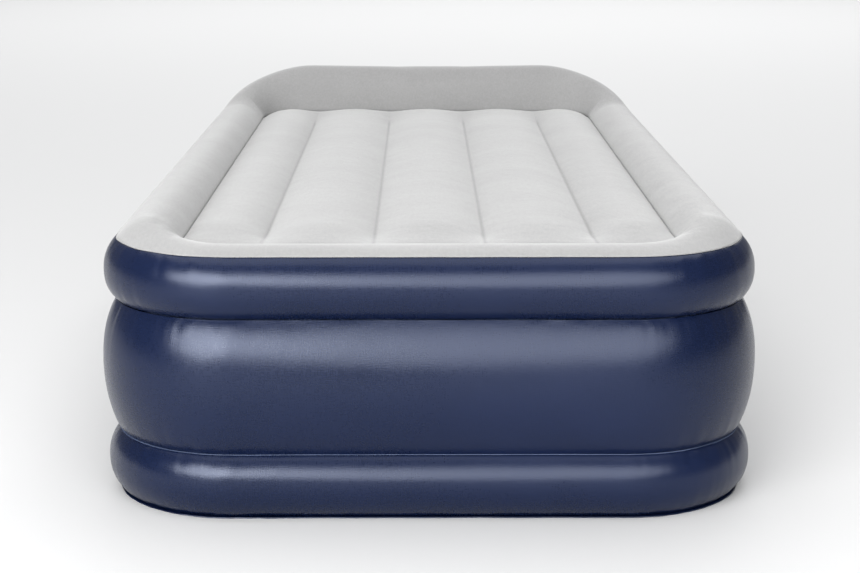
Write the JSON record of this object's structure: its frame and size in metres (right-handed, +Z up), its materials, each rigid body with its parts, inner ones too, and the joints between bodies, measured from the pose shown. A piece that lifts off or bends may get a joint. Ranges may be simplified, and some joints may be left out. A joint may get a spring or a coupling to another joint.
{
  "type": "air mattress",
  "caption": "Raised single air bed with flocked top, lengthwise channels, built-in pillow bolster, three-tier navy side wall and a built-in electric pump.",
  "frame": {"origin": "on the floor under the middle of the bed, at the bottom centre of its box", "axes": "+X across the bed, +Y lengthwise towards the pillow end, +Z up"},
  "size_m": [0.97, 1.91, 0.4701],
  "materials": {
    "flock": "flocked, matt",
    "navy_vinyl": "satin, fine woven emboss",
    "inner_vinyl": "satin",
    "dark_plastic": "fine moulded grain",
    "light_plastic": "fine moulded grain",
    "black_plastic": "moulded",
    "rubber": "matt",
    "steel": "bright"
  },
  "bodies": {
    "bed": {"sleeping_surface": "flock", "border_and_pillow": "flock", "upper_wall": "navy_vinyl", "middle_wall": "navy_vinyl", "lower_wall": "navy_vinyl", "bottom_sheet": "navy_vinyl", "upper_diaphragm": "inner_vinyl", "lower_diaphragm": "inner_vinyl", "top_beam_1": "inner_vinyl", "top_beam_2": "inner_vinyl", "top_beam_3": "inner_vinyl", "top_beam_4": "inner_vinyl", "middle_beam_1": "inner_vinyl", "middle_beam_2": "inner_vinyl", "middle_beam_3": "inner_vinyl", "middle_beam_4": "inner_vinyl", "lower_beam_1": "inner_vinyl", "lower_beam_2": "inner_vinyl", "lower_beam_3": "inner_vinyl", "lower_beam_4": "inner_vinyl", "border_web_left": "inner_vinyl", "border_web_right": "inner_vinyl", "border_web_foot": "inner_vinyl", "border_web_head": "inner_vinyl", "pump_collar": "dark_plastic", "pump_faceplate": "dark_plastic", "motor_end_cap": "dark_plastic", "intake_grille": "light_plastic", "pump_housing": "black_plastic", "cord_bay": "black_plastic", "switch_block": "black_plastic", "blower_casing": "black_plastic", "outlet_seat": "black_plastic", "pump_gasket": "rubber", "cord_gland": "rubber", "door_hinge_pin": "steel", "flap_pin": "steel", "motor_can": "steel", "faceplate_screw_1": "steel", "faceplate_screw_2": "steel", "faceplate_screw_3": "steel", "faceplate_screw_4": "steel"},
    "dial": {"control_dial": "light_plastic", "dial_spindle": "black_plastic", "air_valve_disc": "black_plastic"},
    "rocker": {"rocker_switch": "light_plastic"},
    "bay_door": {"cord_bay_door": "dark_plastic"},
    "fan": {"impeller": "black_plastic", "motor_shaft": "steel", "motor_rotor": "dark_plastic"},
    "flap": {"outlet_flap": "rubber"}
  },
  "joints": [
    {"name": "dial_turn", "type": "hinge", "parent": "bed", "child": "dial", "pos_m": [-0.218, 0.944, 0.204], "axis": [0, 1, 0], "range_deg": [-90, 90]},
    {"name": "switch_rock", "type": "hinge", "parent": "bed", "child": "rocker", "pos_m": [-0.154, 0.943, 0.229], "axis": [1, 0, 0], "range_deg": [0, 14]},
    {"name": "bay_door_swing", "type": "hinge", "parent": "bed", "child": "bay_door", "pos_m": [-0.066, 0.942, 0.192], "axis": [0, 0, -1], "range_deg": [0, 100]},
    {"name": "fan_spin", "type": "hinge", "parent": "bed", "child": "fan", "pos_m": [-0.154, 0.907, 0.179], "axis": [0, 1, 0], "continuous": true},
    {"name": "flap_swing", "type": "hinge", "parent": "bed", "child": "flap", "pos_m": [-0.21, 0.8295, 0.1975], "axis": [-1, 0, 0], "range_deg": [0, 60]}
  ]
}
